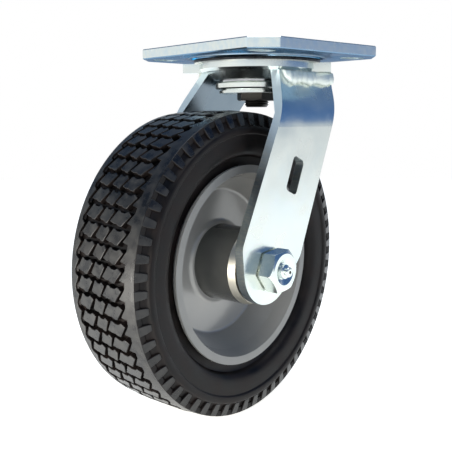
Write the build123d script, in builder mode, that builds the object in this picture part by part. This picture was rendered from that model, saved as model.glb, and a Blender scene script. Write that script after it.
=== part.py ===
from build123d import *
from math import cos, radians, tan
import os

os.makedirs("parts", exist_ok=True)

# All lengths in millimetres. The origin is the centre of the top plate's upper face,
# X runs along the plate's shorter side, Y along its longer side, Z up.

# How the fork stands under the plate
swivel_angle = 8.4
trail = 33.6
axle_drop = 108.7

# Clearances
seat_gap = 0.02
running_gap = 0.05
body_gap = 0.4

# Top plate
plate_x = 90.4
plate_y = 103.5
plate_thickness = 5.3
corner_clip = 11.0
corner_rounding = 1.5
bolt_spacing_x = 65.0
bolt_spacing_y = 75.0
bolt_slot_radius = 4.9
bolt_slot_length = 14.5
plate_edge_break = 0.5
boss_radius = 36.6
boss_height = 1.0
boss_step = 1.4
boss_slope = 0.7
dish_bevel = 1.6

# Upper ball race
upper_ball_radius = 3.175
upper_ball_count = 10
upper_pitch_radius = 25.0
race_opening = 1.4
retainer_thickness = 0.8
retainer_margin = 1.0
retainer_play = 0.15

# Yoke base
base_radius = 30.6
base_thickness = 4.76
base_bevel = 1.5
base_dish_radius = 20.3
base_dish_floor = 17.6
base_hub_top = 26.4
base_hub_bottom = 22.6
base_hub_depth = 3.9
lug_start = 24.0
lug_reach = 39.0
lug_width = 11.0
lug_angle_rear = -58.0

# Lower ball race
lower_ball_radius = 2.38
lower_race_opening = 1.2
lower_ball_count = 8
lower_pitch_radius = 16.2
cup_radius = 22.0
cup_height = 3.65
cup_edge_break = 0.7
cup_foot_radius = 18.4
cup_foot_height = 0.7
washer_radius = 20.0
washer_thickness = 1.3

# Kingpin and its nut
kingpin_radius = 8.0
kingpin_thread_radius = 6.35
kingpin_head_radius = 11.0
kingpin_head_height = 2.9
kingpin_shoulder_depth = 2.0
kingpin_tail = 3.3
kingpin_nut_flats = 19.0
kingpin_nut_height = 3.8
thread_chamfer = 1.0
thread_pitch = 1.6
thread_depth = 0.5

# Dust seal between plate and yoke base
seal_inner_radius = 28.7
seal_outer_radius = 33.4
seal_height = 1.05

# Fork legs
leg_thickness = 4.76
leg_spread = 35.9
leg_splay = 26.2
leg_bend_z = -32.6
leg_bend_radius = 34.0
front_edge_at_plate = -9.16
front_edge_slope = 0.479
rear_edge_at_plate = 35.56
rear_edge_slope = 0.421
leg_end_radius = 18.1
leg_end_offset_x = -2.0
leg_end_offset_z = 1.1
front_knee_z = -96.0
rear_knee_z = -105.5
knee_rounding = 9.0
window_width = 9.2
window_length = 18.0
window_x = -14.3
window_z = -64.3
window_slant = 22.7
window_rounding = 2.2
cope_gap = 0.1

# Weld beads along the tops of the legs
weld_height = 6.0
weld_throat = 3.4
weld_end_inset = 1.2

# Axle bolt, nut and grease fitting
axle_radius = 6.35
axle_hole_clearance = 0.15
hex_flats = 19.05
hex_face_radius = 8.65
hex_head_height = 8.0
hex_chamfer_slope = 30.0
washer_face_radius = 9.1
washer_face_height = 0.8
axle_nut_height = 10.5
axle_tail = 3.0
grease_bore_radius = 1.6
fitting_shank_radius = 3.0
fitting_shank_length = 6.0
fitting_collar_radius = 3.7
fitting_collar_height = 0.9
fitting_neck_radius = 1.7
fitting_tip_radius = 2.5
fitting_tip_height = 1.9

# Hub bearing
bushing_radius = 9.525
bushing_bore_clearance = 0.1
roller_count = 9
race_inner_radius = 15.08
sleeve_thickness = 1.2
sleeve_half_length = 25.0
roller_half_length = 22.6
cage_end_width = 1.8
cage_wall = 1.5
cage_pocket_play = 0.15
hub_seal_inset = 0.2
thrust_washer_radius = 14.4

# Wheel core
hub_radius = 19.0
hub_end_radius = 17.7
hub_half_length = 28.1
hub_chamfer_start = 24.5
web_half_thickness = 1.5
web_hub_fillet = 3.2
web_rim_fillet = 1.6
web_rim_radius = 37.4
flare_start = 13.5
flare_start_radius = 43.5
lip_half_width = 20.9
lip_inner_radius = 46.0
lip_outer_radius = 49.9
lip_thickness = 1.6
lip_root = 1.0
rim_bed_radius = 46.6
rim_bed_start = 13.0
rim_well_radius = 41.8
rim_well_half_width = 5.5

# Tyre
tread_radius = 76.2
tread_edge_radius = 75.3
tread_edge = 21.1
ring_radius = 66.7
ring_half_width = 1.6
tyre_half_width = 23.6
ring_height = 0.7
sidewall_foot = 20.3
sidewall_foot_step = 0.6
sidewall_swell = 21.9
sidewall_swell_step = 2.7
tread_flat = 14.5
tread_grooves = (-14.0, -2.5, 5.0, 15.0)
groove_width = 1.5
groove_depth = 2.4
sipe_width = 1.4
sipe_depth = 1.8
sipe_shift = 1.4
block_count = 58
shoulder_notch_share = 0.48
shoulder_notch_foot = 69.4
shoulder_notch_reach = 18.3

# Derived places
boss_bottom = -(plate_thickness + boss_height)
base_top = boss_bottom - race_opening
base_bottom = base_top - base_thickness
base_hub_z = base_bottom - base_hub_depth
cup_top = base_hub_z - lower_race_opening
cup_bottom = cup_top - cup_height
washer_top = cup_bottom - cup_foot_height
washer_bottom = washer_top - washer_thickness
nut_bottom = washer_bottom - kingpin_nut_height
shoulder_z = cup_top - kingpin_shoulder_depth
upper_ball_z = boss_bottom - race_opening / 2
lower_ball_z = base_hub_z - lower_race_opening / 2
leg_inner = leg_spread - leg_thickness
roller_radius = (race_inner_radius - bushing_radius) / 2 - running_gap
roller_pitch_radius = (race_inner_radius + bushing_radius) / 2
hub_bore_radius = race_inner_radius + sleeve_thickness

# Working planes: the fork's own directions, turned under the plate
fork = Plane.XY.rotated((0, 0, swivel_angle))
side_plane = Plane(origin=(0, 0, 0), x_dir=fork.x_dir, z_dir=-fork.y_dir)
cross_plane = Plane(origin=(0, 0, 0), x_dir=fork.y_dir, z_dir=fork.x_dir)
axle_centre = fork.from_local_coords(Vector(-trail, 0, -axle_drop))
axle_side = Plane(origin=axle_centre, x_dir=fork.x_dir, z_dir=-fork.y_dir)
axle_cross = Plane(origin=axle_centre, x_dir=fork.y_dir, z_dir=fork.x_dir)
axle_axis = Axis(axle_centre, fork.y_dir)
swivel_axis = Axis.Z

# The flat plate with clipped corners, slotted for four bolts, with the upper ball
# race pressed down into it and a seat for the kingpin's head
with BuildPart() as top_plate:
    with BuildSketch(Plane.XY.offset(-plate_thickness)):
        Rectangle(plate_x, plate_y)
    extrude(amount=plate_thickness)
    chamfer(top_plate.edges().filter_by(Axis.Z), corner_clip)
    fillet(top_plate.edges().filter_by(Axis.Z), corner_rounding)
    chamfer(top_plate.faces().sort_by(Axis.Z)[-1].edges(), plate_edge_break)
    chamfer(top_plate.faces().sort_by(Axis.Z)[0].edges(), plate_edge_break)
    with BuildSketch(Plane.XY):
        with GridLocations(bolt_spacing_x, bolt_spacing_y, 2, 2):
            SlotOverall(bolt_slot_length, 2 * bolt_slot_radius)
    extrude(amount=-plate_thickness, mode=Mode.SUBTRACT)
    with BuildSketch(Plane.XZ):
        with BuildLine():
            Polyline(
                (0, -plate_thickness),
                (boss_radius, -plate_thickness),
                (boss_radius, -plate_thickness - boss_height / 2),
                (boss_radius - boss_step, -plate_thickness - boss_height / 2),
                (boss_radius - boss_step - boss_slope, boss_bottom),
                (0, boss_bottom),
                close=True,
            )
        make_face()
    revolve(axis=swivel_axis)
    with BuildSketch(Plane.XZ):
        with BuildLine():
            Polyline(
                (0, 0),
                (boss_radius, 0),
                (boss_radius - dish_bevel, -boss_height),
                (0, -boss_height),
                close=True,
            )
        make_face()
    revolve(axis=swivel_axis, mode=Mode.SUBTRACT)
    with BuildSketch(Plane.XY.offset(-boss_height)):
        Circle(kingpin_head_radius + seat_gap)
    extrude(amount=-kingpin_head_height - seat_gap, mode=Mode.SUBTRACT)
    with BuildSketch(Plane.XY):
        Circle(kingpin_radius + seat_gap)
    extrude(amount=boss_bottom, mode=Mode.SUBTRACT)
    with BuildSketch(Plane.XZ):
        with Locations((upper_pitch_radius, upper_ball_z)):
            Circle(upper_ball_radius + running_gap)
    revolve(axis=swivel_axis, mode=Mode.SUBTRACT)

# Kingpin: flush head, shoulder through both races, threaded tail
with BuildPart() as kingpin:
    with BuildSketch(Plane.XZ):
        with BuildLine():
            Polyline(
                (0, -boss_height - seat_gap),
                (kingpin_head_radius, -boss_height - seat_gap),
                (kingpin_head_radius, -boss_height - kingpin_head_height),
                (kingpin_radius, -boss_height - kingpin_head_height),
                (kingpin_radius, shoulder_z),
                (kingpin_thread_radius, shoulder_z),
                (kingpin_thread_radius, nut_bottom - kingpin_tail + thread_chamfer),
                (kingpin_thread_radius - thread_chamfer, nut_bottom - kingpin_tail),
                (0, nut_bottom - kingpin_tail),
                close=True,
            )
        make_face()
    revolve(axis=swivel_axis)
    with BuildSketch(Plane.XZ):
        with BuildLine():
            Polyline(
                (kingpin_thread_radius + thread_depth, nut_bottom),
                (kingpin_thread_radius - thread_depth, nut_bottom - thread_pitch / 2),
                (kingpin_thread_radius + thread_depth, nut_bottom - thread_pitch),
                close=True,
            )
        make_face()
    revolve(axis=swivel_axis, mode=Mode.SUBTRACT)

# Lower race cup, seated on the kingpin's shoulder
with BuildPart() as lower_race_cup:
    with BuildSketch(Plane.XZ):
        with BuildLine():
            Polyline(
                (kingpin_thread_radius + seat_gap, washer_top),
                (cup_foot_radius, washer_top),
                (cup_foot_radius, cup_bottom),
                (cup_radius, cup_bottom),
                (cup_radius, cup_top),
                (kingpin_radius + seat_gap, cup_top),
                (kingpin_radius + seat_gap, shoulder_z),
                (kingpin_thread_radius + seat_gap, shoulder_z),
                close=True,
            )
        make_face()
    revolve(axis=swivel_axis)
    cup_rims = lower_race_cup.edges().filter_by(GeomType.CIRCLE)
    chamfer(cup_rims.sort_by(SortBy.RADIUS)[-2:], cup_edge_break)
    with BuildSketch(Plane.XZ):
        with Locations((lower_pitch_radius, lower_ball_z)):
            Circle(lower_ball_radius + running_gap)
    revolve(axis=swivel_axis, mode=Mode.SUBTRACT)

with BuildPart() as race_washer:
    with BuildSketch(Plane.XY.offset(washer_bottom)):
        Circle(washer_radius)
        Circle(kingpin_thread_radius + seat_gap, mode=Mode.SUBTRACT)
    extrude(amount=washer_thickness)

with BuildPart() as kingpin_nut:
    with BuildSketch(Plane.XY.offset(nut_bottom)):
        RegularPolygon(kingpin_nut_flats / 2, 6, major_radius=False)
        Circle(kingpin_thread_radius + seat_gap, mode=Mode.SUBTRACT)
    extrude(amount=kingpin_nut_height)
    nut_corner = kingpin_nut_flats / 2 / cos(radians(30))
    nut_drop = (nut_corner - kingpin_nut_flats / 2) * tan(radians(hex_chamfer_slope))
    with BuildSketch(Plane.XZ):
        with BuildLine():
            Polyline(
                (0, nut_bottom),
                (kingpin_nut_flats / 2, nut_bottom),
                (nut_corner, nut_bottom + nut_drop),
                (nut_corner, washer_bottom),
                (0, washer_bottom),
                close=True,
            )
        make_face()
    revolve(axis=swivel_axis, mode=Mode.INTERSECT)

# Two trains of balls, each spaced by a flat retainer and rolling between two grooves
with BuildPart() as upper_balls:
    with Locations((0, 0, upper_ball_z)):
        with PolarLocations(upper_pitch_radius, upper_ball_count):
            Sphere(upper_ball_radius)

with BuildPart() as lower_balls:
    with Locations((0, 0, lower_ball_z)):
        with PolarLocations(lower_pitch_radius, lower_ball_count):
            Sphere(lower_ball_radius)

with BuildPart() as upper_retainer:
    with BuildSketch(Plane.XY.offset(upper_ball_z - retainer_thickness / 2)):
        Circle(upper_pitch_radius + upper_ball_radius)
        Circle(upper_pitch_radius - upper_ball_radius - retainer_margin, mode=Mode.SUBTRACT)
        with PolarLocations(upper_pitch_radius, upper_ball_count):
            Circle(upper_ball_radius + retainer_play, mode=Mode.SUBTRACT)
    extrude(amount=retainer_thickness)

with BuildPart() as lower_retainer:
    with BuildSketch(Plane.XY.offset(lower_ball_z - retainer_thickness / 2)):
        Circle(lower_pitch_radius + lower_ball_radius + retainer_margin)
        Circle(lower_pitch_radius - lower_ball_radius - retainer_margin, mode=Mode.SUBTRACT)
        with PolarLocations(lower_pitch_radius, lower_ball_count):
            Circle(lower_ball_radius + retainer_play, mode=Mode.SUBTRACT)
    extrude(amount=retainer_thickness)

# Pressed yoke base: a disc dished in the middle, both ball grooves, two square lugs
with BuildPart() as yoke_base:
    with BuildSketch(Plane.XZ):
        with BuildLine():
            Polyline(
                (kingpin_radius + body_gap, base_hub_z),
                (base_hub_bottom, base_hub_z),
                (base_hub_top, base_bottom),
                (base_radius - base_bevel, base_bottom),
                (base_radius, base_bottom + base_bevel),
                (base_radius, base_top),
                (base_dish_radius, base_top),
                (base_dish_floor, base_hub_z + base_thickness),
                (kingpin_radius + body_gap, base_hub_z + base_thickness),
                close=True,
            )
        make_face()
    revolve(axis=swivel_axis)
    with BuildSketch(fork.offset(base_bottom)):
        with PolarLocations(0, 2, start_angle=lug_angle_rear):
            with Locations(((lug_start + lug_reach) / 2, 0)):
                Rectangle(lug_reach - lug_start, lug_width)
    extrude(amount=base_thickness)
    with BuildSketch(Plane.XZ):
        with Locations((upper_pitch_radius, upper_ball_z)):
            Circle(upper_ball_radius + running_gap)
        with Locations((lower_pitch_radius, lower_ball_z)):
            Circle(lower_ball_radius + running_gap)
    revolve(axis=swivel_axis, mode=Mode.SUBTRACT)

with BuildPart() as dust_seal:
    with BuildSketch(Plane.XY.offset(base_top)):
        Circle(seal_outer_radius)
        Circle(seal_inner_radius, mode=Mode.SUBTRACT)
    extrude(amount=seal_height)

# Near leg: bent strip cut to the leg's outline, with its window and axle hole
leg_slope = tan(radians(leg_splay))
leg_top_outer = leg_spread - (base_bottom - leg_bend_z) * leg_slope
inner_bend_z = leg_bend_z - leg_thickness * tan(radians(leg_splay / 2))
leg_top_inner = leg_inner - (base_bottom - inner_bend_z) * leg_slope
leg_foot = -(axle_drop + 2 * leg_end_radius)
with BuildPart() as near_leg:
    with BuildSketch(cross_plane):
        with BuildLine():
            Polyline(
                (-leg_top_inner, base_bottom),
                (-leg_inner, inner_bend_z),
                (-leg_inner, leg_foot),
                (-leg_spread, leg_foot),
                (-leg_spread, leg_bend_z),
                (-leg_top_outer, base_bottom),
                close=True,
            )
        leg_section = make_face()
        outer_bend = leg_section.vertices().sort_by_distance((-leg_spread, leg_bend_z))[0]
        fillet(outer_bend, leg_bend_radius)
        inner_bend = leg_section.vertices().sort_by_distance((-leg_inner, inner_bend_z))[0]
        fillet(inner_bend, leg_bend_radius - leg_thickness)
    extrude(amount=axle_drop, both=True)
    with BuildSketch(side_plane) as leg_outline:
        with BuildLine():
            Polyline(
                (front_edge_at_plate + front_edge_slope * base_bottom, base_bottom),
                (rear_edge_at_plate + rear_edge_slope * base_bottom, base_bottom),
                (rear_edge_at_plate + rear_edge_slope * rear_knee_z, rear_knee_z),
                (front_edge_at_plate + front_edge_slope * front_knee_z, front_knee_z),
                close=True,
            )
        make_face()
        with Locations((-trail + leg_end_offset_x, -axle_drop + leg_end_offset_z)):
            Circle(leg_end_radius)
        make_hull()
        knees = leg_outline.vertices().sort_by(Axis.Y, reverse=True)[2:4]
        fillet(knees, knee_rounding)
    extrude(amount=leg_spread, mode=Mode.INTERSECT)
    with BuildSketch(side_plane) as leg_holes:
        with Locations((window_x, window_z)):
            Rectangle(window_width, window_length, rotation=-window_slant)
        fillet(leg_holes.vertices(), window_rounding)
        with Locations((-trail, -axle_drop)):
            Circle(axle_radius + axle_hole_clearance)
    extrude(amount=leg_spread, mode=Mode.SUBTRACT)
    with BuildSketch(Plane.XZ):
        with BuildLine():
            Polyline(
                (0, base_bottom),
                (base_hub_top + cope_gap, base_bottom),
                (base_hub_bottom + cope_gap, base_hub_z),
                (0, base_hub_z),
                close=True,
            )
        make_face()
    revolve(axis=swivel_axis, mode=Mode.SUBTRACT)

with BuildPart() as far_leg:
    mirror(near_leg.part, about=side_plane)

# Weld bead along the top of each leg, in the corner under the yoke base
weld_front = front_edge_at_plate + front_edge_slope * base_bottom + weld_end_inset
weld_rear = rear_edge_at_plate + rear_edge_slope * base_bottom - weld_end_inset
weld_face = leg_top_outer + seat_gap
weld_top = base_bottom - seat_gap
with BuildPart() as near_weld:
    with BuildSketch(cross_plane.offset(weld_front)):
        with BuildLine():
            Polyline(
                (-weld_face - seat_gap, weld_top),
                (-weld_face - weld_throat, weld_top),
                (-weld_face - weld_throat, weld_top - weld_height / 2),
                (-weld_face - weld_height * leg_slope, weld_top - weld_height),
                close=True,
            )
        make_face()
    extrude(amount=weld_rear - weld_front)

with BuildPart() as far_weld:
    mirror(near_weld.part, about=side_plane)

# Axle bolt: hex head with a washer face, drilled along its length for grease
head_base = leg_spread + washer_face_height
head_face = head_base + hex_head_height
nut_face = head_base + axle_nut_height
hex_corner = hex_flats / 2 / cos(radians(30))
hex_drop = (hex_corner - hex_face_radius) * tan(radians(hex_chamfer_slope))
with BuildPart() as axle_bolt:
    with BuildSketch(axle_side.offset(head_base)):
        RegularPolygon(hex_flats / 2, 6, major_radius=False, rotation=30)
    extrude(amount=hex_head_height)
    with BuildSketch(axle_cross):
        with BuildLine():
            Polyline(
                (-head_face, 0),
                (-head_face, hex_face_radius),
                (-head_face + hex_drop, hex_corner),
                (-head_base, hex_corner),
                (-head_base, 0),
                close=True,
            )
        make_face()
    revolve(axis=axle_axis, mode=Mode.INTERSECT)
    with BuildSketch(axle_side.offset(leg_spread)):
        Circle(washer_face_radius)
    extrude(amount=washer_face_height)
    with BuildSketch(axle_side.offset(leg_spread)):
        Circle(axle_radius)
    extrude(amount=-(leg_spread + nut_face + axle_tail))
    tail_edge = axle_bolt.faces().sort_by(Axis(axle_centre, fork.y_dir))[-1].edges()
    chamfer(tail_edge, thread_chamfer)
    with BuildSketch(axle_side.offset(head_face)):
        Circle(grease_bore_radius)
    extrude(amount=-head_face, mode=Mode.SUBTRACT)
    with BuildSketch(axle_side.offset(head_face)):
        Circle(fitting_shank_radius + seat_gap)
    extrude(amount=-fitting_shank_length - seat_gap, mode=Mode.SUBTRACT)
    with BuildSketch(Plane(origin=axle_centre, x_dir=fork.x_dir, z_dir=(0, 0, 1))):
        Circle(grease_bore_radius)
    extrude(amount=axle_radius, mode=Mode.SUBTRACT)

with BuildPart() as grease_fitting:
    collar_face = head_face + fitting_collar_height
    tip_face = collar_face + fitting_tip_height
    with BuildSketch(axle_cross):
        with BuildLine():
            Polyline(
                (-head_face + fitting_shank_length, 0),
                (-head_face + fitting_shank_length, fitting_shank_radius),
                (-head_face, fitting_shank_radius),
                (-head_face, fitting_collar_radius),
                (-collar_face, fitting_collar_radius),
                (-collar_face, fitting_neck_radius),
                (-collar_face - fitting_tip_height / 3, fitting_neck_radius),
                (-collar_face - fitting_tip_height / 2, fitting_tip_radius),
                (-tip_face + fitting_tip_height / 4, fitting_tip_radius),
                (-tip_face, fitting_neck_radius),
                (-tip_face, 0),
                close=True,
            )
        make_face()
    revolve(axis=axle_axis)

with BuildPart() as axle_nut:
    with BuildSketch(axle_side.offset(-head_base)):
        RegularPolygon(hex_flats / 2, 6, major_radius=False, rotation=30)
    extrude(amount=-axle_nut_height)
    with BuildSketch(axle_cross):
        with BuildLine():
            Polyline(
                (nut_face, 0),
                (nut_face, hex_face_radius),
                (nut_face - hex_drop, hex_corner),
                (head_base, hex_corner),
                (head_base, 0),
                close=True,
            )
        make_face()
    revolve(axis=axle_axis, mode=Mode.INTERSECT)
    with BuildSketch(axle_side.offset(-leg_spread)):
        Circle(washer_face_radius)
    extrude(amount=-washer_face_height)
    with BuildSketch(axle_side.offset(-leg_spread)):
        Circle(axle_radius + seat_gap)
    extrude(amount=-(washer_face_height + axle_nut_height), mode=Mode.SUBTRACT)

# Bearing: clamped bushing, rollers in their cage, outer sleeve in the hub
bushing_half = leg_inner - seat_gap
with BuildPart() as axle_bushing:
    with BuildSketch(axle_side):
        Circle(bushing_radius)
        Circle(axle_radius + bushing_bore_clearance, mode=Mode.SUBTRACT)
    extrude(amount=bushing_half, both=True)
    with BuildSketch(Plane(origin=axle_centre, x_dir=fork.x_dir, z_dir=(0, 0, 1))):
        Circle(grease_bore_radius)
    extrude(amount=bushing_radius, mode=Mode.SUBTRACT)

washer_inner_face = hub_half_length + body_gap
with BuildPart() as near_thrust_washer:
    with BuildSketch(axle_side.offset(washer_inner_face)):
        Circle(thrust_washer_radius)
        Circle(bushing_radius + seat_gap, mode=Mode.SUBTRACT)
    extrude(amount=bushing_half - washer_inner_face)

with BuildPart() as far_thrust_washer:
    mirror(near_thrust_washer.part, about=axle_side)

with BuildPart() as bearing_rollers:
    with BuildSketch(axle_side):
        with PolarLocations(roller_pitch_radius, roller_count):
            Circle(roller_radius)
    extrude(amount=roller_half_length, both=True)

cage_half = roller_half_length + cage_end_width
with BuildPart() as roller_cage:
    with BuildSketch(axle_side):
        Circle(roller_pitch_radius + cage_wall / 2)
        Circle(roller_pitch_radius - cage_wall / 2, mode=Mode.SUBTRACT)
    extrude(amount=cage_half, both=True)
    with BuildSketch(axle_side):
        with PolarLocations(roller_pitch_radius, roller_count):
            Circle(roller_radius + cage_pocket_play)
    extrude(amount=roller_half_length + cage_pocket_play, both=True, mode=Mode.SUBTRACT)

with BuildPart() as bearing_sleeve:
    with BuildSketch(axle_side):
        Circle(hub_bore_radius - seat_gap)
        Circle(race_inner_radius, mode=Mode.SUBTRACT)
    extrude(amount=sleeve_half_length, both=True)

with BuildPart() as near_hub_seal:
    with BuildSketch(axle_side.offset(sleeve_half_length)):
        Circle(hub_bore_radius - seat_gap)
        Circle(bushing_radius + body_gap, mode=Mode.SUBTRACT)
    extrude(amount=hub_half_length - sleeve_half_length - hub_seal_inset)

with BuildPart() as far_hub_seal:
    mirror(near_hub_seal.part, about=axle_side)

# Wheel core: hub barrel, thin web and flared rim in one revolved piece
with BuildPart() as wheel_core:
    with BuildSketch(axle_cross) as core_profile:
        with BuildLine():
            Polyline(
                (0, hub_bore_radius),
                (hub_half_length, hub_bore_radius),
                (hub_half_length, hub_end_radius),
                (hub_chamfer_start, hub_radius),
                (web_half_thickness, hub_radius),
                (web_half_thickness, web_rim_radius),
                (flare_start, flare_start_radius),
                (lip_half_width, lip_inner_radius),
                (lip_half_width, lip_outer_radius),
                (lip_half_width - lip_thickness, lip_outer_radius),
                (lip_half_width - lip_thickness - lip_root, rim_bed_radius),
                (rim_bed_start, rim_bed_radius),
                (rim_well_half_width, rim_well_radius),
                (0, rim_well_radius),
                close=True,
            )
        make_face()
        web_root = (web_half_thickness, hub_radius)
        fillet(core_profile.vertices().sort_by_distance(web_root)[0], web_hub_fillet)
        web_edge = (web_half_thickness, web_rim_radius)
        fillet(core_profile.vertices().sort_by_distance(web_edge)[0], web_rim_fillet)
        mirror(about=Plane.YZ)
    revolve(axis=axle_axis)

# Tyre: solid ring on the rim, raised bead ring, grooved tread and toothed shoulders
sidewall = tyre_half_width - ring_height
foot_radius = lip_outer_radius + sidewall_foot_step
ring_in = ring_radius - ring_half_width
ring_out = ring_radius + ring_half_width
comb_radius = tread_radius + groove_depth
notch_half = comb_radius * tan(radians(180 / block_count * shoulder_notch_share))
with BuildPart() as shoulder_notches:
    with BuildSketch(axle_cross):
        with BuildLine():
            Polyline(
                (shoulder_notch_reach, tread_radius),
                (sidewall, shoulder_notch_foot),
                (tyre_half_width, shoulder_notch_foot),
                (tyre_half_width, tread_radius),
                close=True,
            )
        make_face()
        mirror(about=Plane.YZ)
    revolve(axis=axle_axis)
    with BuildSketch(axle_side):
        with PolarLocations(0, block_count):
            Polygon((0, 0), (comb_radius, notch_half), (comb_radius, -notch_half), align=None)
    extrude(amount=tyre_half_width, both=True, mode=Mode.INTERSECT)

# Cross cuts of the three middle columns, each column a little out of step with the next
sipe_tools = []
for column, groove in enumerate(tread_grooves[:-1]):
    with BuildPart() as column_sipes:
        with BuildSketch(axle_side.offset(-groove)):
            with PolarLocations(tread_radius, block_count, start_angle=column * sipe_shift):
                Rectangle(2 * sipe_depth, sipe_width)
        extrude(amount=groove - tread_grooves[column + 1])
    sipe_tools.append(column_sipes.part)

with BuildPart() as tyre:
    with BuildSketch(axle_cross) as tyre_profile:
        with BuildLine():
            Polyline(
                (0, rim_well_radius),
                (rim_well_half_width, rim_well_radius),
                (rim_bed_start, rim_bed_radius),
                (lip_half_width - lip_thickness - lip_root, rim_bed_radius),
                (lip_half_width - lip_thickness, lip_outer_radius),
                (sidewall_foot, foot_radius),
                (sidewall_swell, foot_radius + sidewall_swell_step),
                (sidewall, ring_in - ring_height),
                (tyre_half_width, ring_in),
                (tyre_half_width, ring_out),
                (sidewall, ring_out + ring_height),
                (tread_edge, tread_edge_radius),
                (tread_flat, tread_radius),
                (0, tread_radius),
                close=True,
            )
        make_face()
        mirror(about=Plane.YZ)
    revolve(axis=axle_axis)
    with BuildSketch(axle_cross):
        for groove in tread_grooves:
            with Locations((groove, tread_radius)):
                Rectangle(groove_width, 2 * groove_depth)
    revolve(axis=axle_axis, mode=Mode.SUBTRACT)
    add(shoulder_notches.part, mode=Mode.SUBTRACT)
    add(sipe_tools, mode=Mode.SUBTRACT)

pieces = {
    "top_plate": top_plate,
    "kingpin": kingpin,
    "kingpin_nut": kingpin_nut,
    "lower_race_cup": lower_race_cup,
    "race_washer": race_washer,
    "upper_balls": upper_balls,
    "lower_balls": lower_balls,
    "upper_retainer": upper_retainer,
    "lower_retainer": lower_retainer,
    "yoke_base": yoke_base,
    "dust_seal": dust_seal,
    "near_leg": near_leg,
    "far_leg": far_leg,
    "near_weld": near_weld,
    "far_weld": far_weld,
    "axle_bolt": axle_bolt,
    "grease_fitting": grease_fitting,
    "axle_nut": axle_nut,
    "axle_bushing": axle_bushing,
    "near_thrust_washer": near_thrust_washer,
    "far_thrust_washer": far_thrust_washer,
    "bearing_rollers": bearing_rollers,
    "roller_cage": roller_cage,
    "bearing_sleeve": bearing_sleeve,
    "near_hub_seal": near_hub_seal,
    "far_hub_seal": far_hub_seal,
    "wheel_core": wheel_core,
    "tyre": tyre,
}
for name, piece in pieces.items():
    piece.part.label = name
    export_step(piece.part, "parts/" + name + ".step")
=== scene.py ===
import math

import bmesh
import bpy
from mathutils import Matrix, Vector


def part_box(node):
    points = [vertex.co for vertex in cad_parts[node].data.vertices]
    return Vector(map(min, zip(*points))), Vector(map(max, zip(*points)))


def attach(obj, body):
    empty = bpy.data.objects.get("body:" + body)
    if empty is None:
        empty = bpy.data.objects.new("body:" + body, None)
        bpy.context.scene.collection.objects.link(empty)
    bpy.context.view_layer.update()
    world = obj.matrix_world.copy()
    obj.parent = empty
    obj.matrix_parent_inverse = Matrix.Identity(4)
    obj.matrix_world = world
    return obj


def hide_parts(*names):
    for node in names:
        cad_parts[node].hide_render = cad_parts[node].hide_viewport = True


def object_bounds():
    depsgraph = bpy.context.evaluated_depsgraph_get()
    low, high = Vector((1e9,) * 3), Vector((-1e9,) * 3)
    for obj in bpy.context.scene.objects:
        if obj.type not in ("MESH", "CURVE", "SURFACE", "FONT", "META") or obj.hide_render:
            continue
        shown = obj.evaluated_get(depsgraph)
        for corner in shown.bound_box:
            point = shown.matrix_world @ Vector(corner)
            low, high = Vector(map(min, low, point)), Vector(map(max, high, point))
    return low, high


bl_info = {
    "name": "Swivel Castor",
    "version": (1, 0, 0),
    "blender": (4, 5, 0),
    "location": "View3D > Sidebar > Castor",
    "description": "Dresses a plate castor with a bent fork and a treaded tyre, and sets its stage",
    "category": "Add Mesh",
}

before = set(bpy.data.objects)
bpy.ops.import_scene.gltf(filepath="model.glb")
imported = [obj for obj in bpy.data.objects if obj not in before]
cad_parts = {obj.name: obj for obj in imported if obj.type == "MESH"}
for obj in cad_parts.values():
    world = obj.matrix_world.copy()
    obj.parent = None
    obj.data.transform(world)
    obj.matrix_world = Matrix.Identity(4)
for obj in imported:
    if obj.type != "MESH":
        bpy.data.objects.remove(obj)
CAD_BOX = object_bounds()

MM = 0.001

# The fork stands turned under the plate. Along its own directions the axle lies this many mm
# behind and below the plate's centre.
FORK = Matrix.Rotation(math.radians(8.4), 4, "Z")
AXLE_LINE = FORK @ Vector((0, 1, 0))
AXLE_X = -33.6
AXLE_Z = -108.7

# The tread in mm: flat for CROWN_HALF each side of its middle, and fallen by CROWN_FALL at twice
# that distance
TREAD_RADIUS = 76.2
CROWN_HALF = 10.55
CROWN_FALL = 0.9

# The tread's columns of blocks: inner and outer edge in mm from the tyre's middle, and where the
# first block starts, in degrees round the wheel
NEAR_COLUMN = (-14.2, -0.9, 4.7)
MIDDLE_COLUMN = (-3.1, 6.2, 4.1)
FAR_COLUMN = (4.7, 16.3, 3.4)

# Where the wheel core's colour changes: the barrel and the lip, with painted shade, by their mm
# from the axle, and the lathe-faced end of the hub, with a painted cream reflection, by its mm
# from the wheel's middle
HUB_BARREL = (18.5, 19.3)
HUB_END = 24.5
RIM_LIP = (45.9, 50.0)

# The dish in the axle bolt's head and the grease bore in its floor, in mm along the axle
DISH_FLOOR = -43.1
BORE_FLOOR = -38.68

# A face looks along a direction when over this share of its normal does, and is edge on to it
# when less than EDGE_ON of its normal does
FACING = 0.5
EDGE_ON = 0.3

# The second material slot of the tyre and of the grease fitting
TREAD_FACE = 1
VALVE_PIT_SHADE = 1

# The studio dome's colours from low to high: a third is the horizon, and 1 is overhead
OPEN_SIDE = (
    (0.3, "FFFFFF"), (0.46, "FFFFFF"), (0.54, "B4C6D8"), (0.61, "7E93A8"), (0.73, "4F6A8E"),
    (0.9, "5F7A9E"), (1.0, "93A7C0"),
)
WALL_SIDE = (
    (0.3, "FFFFFF"), (0.342, "D8DCDE"), (0.385, "5F82B4"), (0.5, "4A6FA6"), (0.7, "4A6A98"),
    (0.9, "5F7A9E"), (1.0, "93A7C0"),
)
WALL_DIRECTION = (0.66, -0.75, 0.0)

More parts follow.
